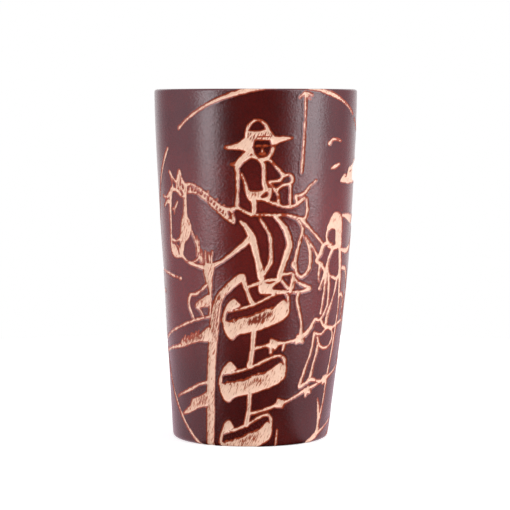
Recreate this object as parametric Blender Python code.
"""A hand-made leather dice cup, taller than it is wide, as the separate pieces it comes apart into.

The outer wall is one thick sheet, wrapped round and laced edge to edge at the back (+Y). A backing strip lies
behind the laced joint, and a thin lining sleeve covers it. The foot is a stack: a sole flush with the wall's
lower edge, a thick plug wedged in the taper above it, and a soft pad inside the lining. Units are metres.
"""

import math

import bmesh
import bpy

# The outer wall
CUP_HEIGHT = 0.115
MOUTH_RADIUS = 0.0335
FOOT_RADIUS = 0.0257
FLARE_POWER = 1.5  # the wall flares fastest at the foot, and stands upright at the mouth
WALL_THICKNESS = 0.0032
RIM_BEVEL = 0.0008
FOOT_BEVEL = 0.0012
FOOT_LEAN = 0.0019  # hand forming has left the foot this far towards -X
LEAN_HEIGHT = 0.058  # above this the cup is upright
LEAN_POWER = 1.2

# The lining and the foot
LINING_THICKNESS = 0.0009
SOLE_THICKNESS = 0.0016
PLUG_THICKNESS = 0.0040
PAD_THICKNESS = 0.0012
GLUE_GAP = 0.0003  # between each piece and its neighbour

# The laced joint at the back
SEAM_GAP = 0.0003
SKIVED_THICKNESS = 0.0013  # the wall is pared down to this along the joint
SKIVED_HALF_WIDTH = 0.0052
SKIVE_SLOPE = 0.0028  # run over which the paring rises, sideways and lengthways
BACKING_THICKNESS = 0.0006
BACKING_HALF_WIDTH = 0.0046
THREAD_RADIUS = 0.00035
HOLE_RADIUS = 0.00072
HOLE_OFFSET = 0.0030  # from the joint's line to a row of holes
CROSS_HEIGHT = 0.0062
CROSS_SPACING = 0.0036  # from the top of one cross to the foot of the next
LACING_MARGIN = 0.0035  # from a hole's centre to the end of the pared strip
SHOULDER_SHARE = 0.2  # where the upper strand's shoulders lie, as a share of its run from the crossing
SHOULDER_DROP = 0.3  # how far they lie below its crest, as a share of its rise

# How finely round shapes are cut
WALL_LEVELS = 9
SEGMENTS_ROUND = 44
HOLE_SIDES = 8
BEND_STEPS = 3
BEND_RADIUS = 0.0006
SHARP_EDGE_ANGLE = math.radians(30)

# Levels and depths that follow from those sizes. A depth is measured inwards from the wall's outer face.
PLUG_BOTTOM = SOLE_THICKNESS + GLUE_GAP
PLUG_TOP = PLUG_BOTTOM + PLUG_THICKNESS
FLOOR_LEVEL = PLUG_TOP + GLUE_GAP
FOOT_PIECE_DEPTH = WALL_THICKNESS + GLUE_GAP
LINING_DEPTH = WALL_THICKNESS + GLUE_GAP
LINING_INNER_DEPTH = LINING_DEPTH + LINING_THICKNESS
BACKING_DEPTH = SKIVED_THICKNESS + GLUE_GAP
THREAD_OUT = THREAD_RADIUS + GLUE_GAP
THREAD_IN = BACKING_DEPTH + BACKING_THICKNESS + GLUE_GAP + THREAD_RADIUS
CROSSING_RISE = 2 * THREAD_RADIUS + GLUE_GAP
SKIVE_BOTTOM = FLOOR_LEVEL + GLUE_GAP
SKIVE_TOP = CUP_HEIGHT - RIM_BEVEL - SKIVE_SLOPE - 2 * GLUE_GAP
PARED_BOTTOM = SKIVE_BOTTOM + SKIVE_SLOPE
PARED_TOP = SKIVE_TOP - SKIVE_SLOPE
CUTTER_OVERRUN = 0.002


def outer_radius(z):
    """The radius of the wall's outer face at height z."""
    left = min(max(1 - z / CUP_HEIGHT, 0), 1)
    return FOOT_RADIUS + (MOUTH_RADIUS - FOOT_RADIUS) * (1 - left**FLARE_POWER)


def lean(z):
    """How far the hand-formed cup stands towards -X at height z."""
    return FOOT_LEAN * max(1 - z / LEAN_HEIGHT, 0) ** LEAN_POWER


def at_back(x, depth, z):
    """A point at distance x from the joint's line and at that depth, on the +Y side of the cup."""
    radius = outer_radius(z) - depth
    return (x - lean(z), math.sqrt(radius**2 - x**2), z)


def round_point(angle, radius, z, front=False):
    """A point on a circle about the cup's axis, with the angle counted from +Y, or from -Y for the front."""
    side = -1 if front else 1
    return (side * radius * math.sin(angle) - lean(z), side * radius * math.cos(angle), z)


def levels_between(bottom, top):
    """Heights from bottom to top, by way of the wall's own evenly spaced levels between them."""
    step = CUP_HEIGHT / WALL_LEVELS
    inner = [step * i for i in range(1, WALL_LEVELS) if bottom + step / 4 < step * i < top - step / 4]
    return [bottom, *inner, top]


def leather(name, colour, roughness):
    material = bpy.data.materials.new(name)
    material.use_nodes = True
    shader = material.node_tree.nodes["Principled BSDF"]
    shader.inputs["Base Color"].default_value = (*colour, 1)
    shader.inputs["Roughness"].default_value = roughness
    shader.inputs["Metallic"].default_value = 0.0
    material.diffuse_color = (*colour, 1)
    return material


def add_mesh(name, bm, material):
    """Links the bmesh as an object, shaded smooth with its edges kept sharp."""
    bmesh.ops.recalc_face_normals(bm, faces=bm.faces)
    mesh = bpy.data.meshes.new(name)
    bm.to_mesh(mesh)
    bm.free()
    mesh.shade_smooth()
    mesh.set_sharp_from_angle(angle=SHARP_EDGE_ANGLE)
    obj = bpy.data.objects.new(name, mesh)
    bpy.context.scene.collection.objects.link(obj)
    if material:
        obj.data.materials.append(material)
    return obj


def add_section_sweep(name, sections, material):
    """One closed solid: like loops of points joined by quads, with the first and the last one capped."""
    bm = bmesh.new()
    loops = [[bm.verts.new(point) for point in section] for section in sections]
    for near, far in zip(loops, loops[1:]):
        for i in range(len(near)):
            bm.faces.new((near[i - 1], near[i], far[i], far[i - 1]))
    bm.faces.new(loops[0])
    bm.faces.new(loops[-1])
    return add_mesh(name, bm, material)


def add_disc(name, depth, bottom, top, material):
    """A disc whose edge keeps one depth inside the wall's outer face, so it tapers as the wall does."""
    bm = bmesh.new()
    rings = []
    for z in (bottom, top):
        radius = outer_radius(z) - depth
        turn = 2 * math.pi / SEGMENTS_ROUND
        rings.append([bm.verts.new(round_point(turn * i, radius, z)) for i in range(SEGMENTS_ROUND)])
        bm.faces.new(rings[-1])
    for i in range(SEGMENTS_ROUND):
        bm.faces.new((rings[0][i - 1], rings[0][i], rings[1][i], rings[1][i - 1]))
    return add_mesh(name, bm, material)


def paring(x, z):
    """The depth pared away from the wall's inner face at distance x from the joint and at height z.

    It is full along the joint, and falls to nothing over the slope sideways and at both ends."""
    sideways = (SKIVED_HALF_WIDTH + SKIVE_SLOPE - x) / SKIVE_SLOPE
    lengthways = min(z - SKIVE_BOTTOM, SKIVE_TOP - z) / SKIVE_SLOPE
    shares = [min(max(share, 0), 1) for share in (sideways, lengthways)]
    return (WALL_THICKNESS - SKIVED_THICKNESS) * math.prod(shares)


def wall_section(x, share):
    """The wall's section as (angle, radius, z): at x from the joint, then that share of the way to the front."""
    outer = [(outer_radius(0) - FOOT_BEVEL, 0)]
    outer += [(outer_radius(z), z) for z in levels_between(FOOT_BEVEL, CUP_HEIGHT - RIM_BEVEL)]
    outer.append((outer_radius(CUP_HEIGHT) - RIM_BEVEL, CUP_HEIGHT))
    inner_levels = [0, *levels_between(SKIVE_BOTTOM, SKIVE_TOP), CUP_HEIGHT, PARED_BOTTOM, PARED_TOP]
    inner = [(outer_radius(z) - WALL_THICKNESS + paring(x, z), z) for z in sorted(inner_levels, reverse=True)]
    section = []
    for radius, z in outer + inner:
        start = math.asin(x / radius)
        section.append((start + (math.pi - start) * share, radius, z))
    return section


def build_outer_wall(material):
    """The wrapped sheet: sections from one edge of the joint right round to the other edge."""
    near = [SEAM_GAP / 2, SKIVED_HALF_WIDTH / 2, SKIVED_HALF_WIDTH, SKIVED_HALF_WIDTH + SKIVE_SLOPE]
    steps = SEGMENTS_ROUND // 2
    half = [wall_section(x, 0) for x in near]
    half += [wall_section(near[-1], i / steps) for i in range(1, steps + 1)]
    sections = [[round_point(angle, radius, z) for angle, radius, z in section] for section in half]
    sections += [
        [round_point(-angle, radius, z) for angle, radius, z in section] for section in reversed(half[:-1])
    ]
    return add_section_sweep("outer_wall", sections, material)


def build_lining(material):
    """The sleeve: a thin wrapped sheet standing on the plug, its own butt joint at the front (-Y)."""
    levels = levels_between(FLOOR_LEVEL, CUP_HEIGHT)
    sections = []
    for i in range(SEGMENTS_ROUND + 1):
        section = []
        for depth, heights in ((LINING_DEPTH, levels), (LINING_INNER_DEPTH, levels[::-1])):
            for z in heights:
                radius = outer_radius(z) - depth
                start = math.asin(SEAM_GAP / 2 / radius)
                angle = start + (2 * math.pi - 2 * start) * i / SEGMENTS_ROUND
                section.append(round_point(angle, radius, z, front=True))
        sections.append(section)
    return add_section_sweep("lining", sections, material)


def build_seam_backing(material):
    """The strip glued behind the joint, which the lacing passes through."""
    levels = levels_between(PARED_BOTTOM + GLUE_GAP, PARED_TOP - GLUE_GAP)
    sections = []
    for x in (-BACKING_HALF_WIDTH, -BACKING_HALF_WIDTH / 2, 0, BACKING_HALF_WIDTH / 2, BACKING_HALF_WIDTH):
        outside = [at_back(x, BACKING_DEPTH, z) for z in levels]
        inside = [at_back(x, BACKING_DEPTH + BACKING_THICKNESS, z) for z in levels[::-1]]
        sections.append(outside + inside)
    return add_section_sweep("seam_backing", sections, material)


def cross_heights():
    """(foot, top) of each cross of the lacing, centred in the pared length."""
    first, last = PARED_BOTTOM + LACING_MARGIN, PARED_TOP - LACING_MARGIN
    pitch = CROSS_HEIGHT + CROSS_SPACING
    count = int((last - first + CROSS_SPACING) / pitch)
    start = (first + last - count * pitch + CROSS_SPACING) / 2
    return [(start + i * pitch, start + i * pitch + CROSS_HEIGHT) for i in range(count)]


def add_hole_cutter():
    """One cutter for all the lacing holes: a prism along Y at each end of each cross."""
    bm = bmesh.new()
    for foot, top in cross_heights():
        for z in (foot, top):
            for x in (-HOLE_OFFSET, HOLE_OFFSET):
                rings = []
                for depth in (THREAD_IN + CUTTER_OVERRUN, -CUTTER_OVERRUN):
                    _, y, _ = at_back(x, depth, z)
                    ring = []
                    for i in range(HOLE_SIDES):
                        angle = 2 * math.pi * (i + 0.5) / HOLE_SIDES
                        side, rise = HOLE_RADIUS * math.cos(angle), HOLE_RADIUS * math.sin(angle)
                        ring.append(bm.verts.new((x - lean(z) + side, y, z + rise)))
                    rings.append(ring)
                    bm.faces.new(ring)
                for i in range(HOLE_SIDES):
                    bm.faces.new((rings[0][i - 1], rings[0][i], rings[1][i], rings[1][i - 1]))
    cutter = add_mesh("lacing_hole_cutter", bm, None)
    cutter.hide_render = True
    cutter.display_type = "WIRE"
    return cutter


def cut_holes(obj, cutter):
    cut = obj.modifiers.new("lacing_holes", "BOOLEAN")
    cut.operation = "DIFFERENCE"
    cut.object = cutter
    cut.solver = "EXACT"


def bend(corner, before, after):
    """Points (x, depth, z) round a corner of the thread, on a quarter of a circle between two directions."""
    points = []
    for i in range(BEND_STEPS + 1):
        angle = math.pi / 2 * i / BEND_STEPS
        back, on = BEND_RADIUS * (1 - math.sin(angle)), BEND_RADIUS * (1 - math.cos(angle))
        points.append(tuple(c - b * back + a * on for c, b, a in zip(corner, before, after)))
    return points


def strand_route(side, rise):
    """(x, depth, z) along one strand: out of a hole, across to the other row, in, and up to the next cross.

    side is the row that it starts in, and rise how far it lifts to pass over the other strand."""
    route = []
    inwards, outwards, up = (0, 1, 0), (0, -1, 0), (0, 0, 1)
    crosses = cross_heights()
    for i, (foot, top) in enumerate(crosses):
        start_x, end_x = side * HOLE_OFFSET, -side * HOLE_OFFSET
        run = math.hypot(end_x - start_x, top - foot)
        across = ((end_x - start_x) / run, 0, (top - foot) / run)
        middle = [(start_x + end_x) / 2, -THREAD_OUT - rise, (foot + top) / 2]
        if i == 0:
            route.append((start_x, THREAD_IN - THREAD_RADIUS, foot))
        else:
            route += bend((start_x, THREAD_IN, foot), up, outwards)
        route += bend((start_x, -THREAD_OUT, foot), outwards, across)
        for share, drop in ((-SHOULDER_SHARE, SHOULDER_DROP), (0, 0), (SHOULDER_SHARE, SHOULDER_DROP)):
            offset = [a * run * share for a in across]
            route.append((middle[0] + offset[0], middle[1] + rise * drop, middle[2] + offset[2]))
        route += bend((end_x, -THREAD_OUT, top), across, inwards)
        if i == len(crosses) - 1:
            route.append((end_x, THREAD_IN - THREAD_RADIUS, top))
        else:
            route += bend((end_x, THREAD_IN, top), inwards, up)
        side = -side
    return route


def build_strand(name, side, rise, material):
    """One waxed thread, from its first hole to its last, as a round tube."""
    curve = bpy.data.curves.new(name, "CURVE")
    curve.dimensions = "3D"
    curve.bevel_depth = THREAD_RADIUS
    curve.bevel_resolution = 1
    curve.use_fill_caps = True
    points = [at_back(x, depth, z) for x, depth, z in strand_route(side, rise)]
    spline = curve.splines.new("POLY")
    spline.points.add(len(points) - 1)
    for target, point in zip(spline.points, points):
        target.co = (*point, 1)
    curve.materials.append(material)
    obj = bpy.data.objects.new(name, curve)
    bpy.context.scene.collection.objects.link(obj)
    return obj


def main():
    for obj in list(bpy.data.objects):
        bpy.data.objects.remove(obj)
    oxblood = leather("dyed_carved_leather", (0.085, 0.014, 0.012), 0.38)
    suede = leather("lining_suede", (0.36, 0.20, 0.11), 0.90)
    sole = leather("sole_leather", (0.23, 0.10, 0.05), 0.60)
    felt = leather("pad_felt", (0.10, 0.02, 0.02), 0.95)
    thread = leather("waxed_thread", (0.55, 0.38, 0.23), 0.60)

    cutter = add_hole_cutter()
    cut_holes(build_outer_wall(oxblood), cutter)
    cut_holes(build_seam_backing(sole), cutter)
    build_strand("seam_thread_under", -1, 0, thread)
    build_strand("seam_thread_over", 1, CROSSING_RISE, thread)
    build_lining(suede)
    add_disc("base_sole", FOOT_PIECE_DEPTH, 0, SOLE_THICKNESS, sole)
    add_disc("base_plug", FOOT_PIECE_DEPTH, PLUG_BOTTOM, PLUG_TOP, sole)
    add_disc("base_pad", LINING_INNER_DEPTH + GLUE_GAP, FLOOR_LEVEL, FLOOR_LEVEL + PAD_THICKNESS, felt)


main()
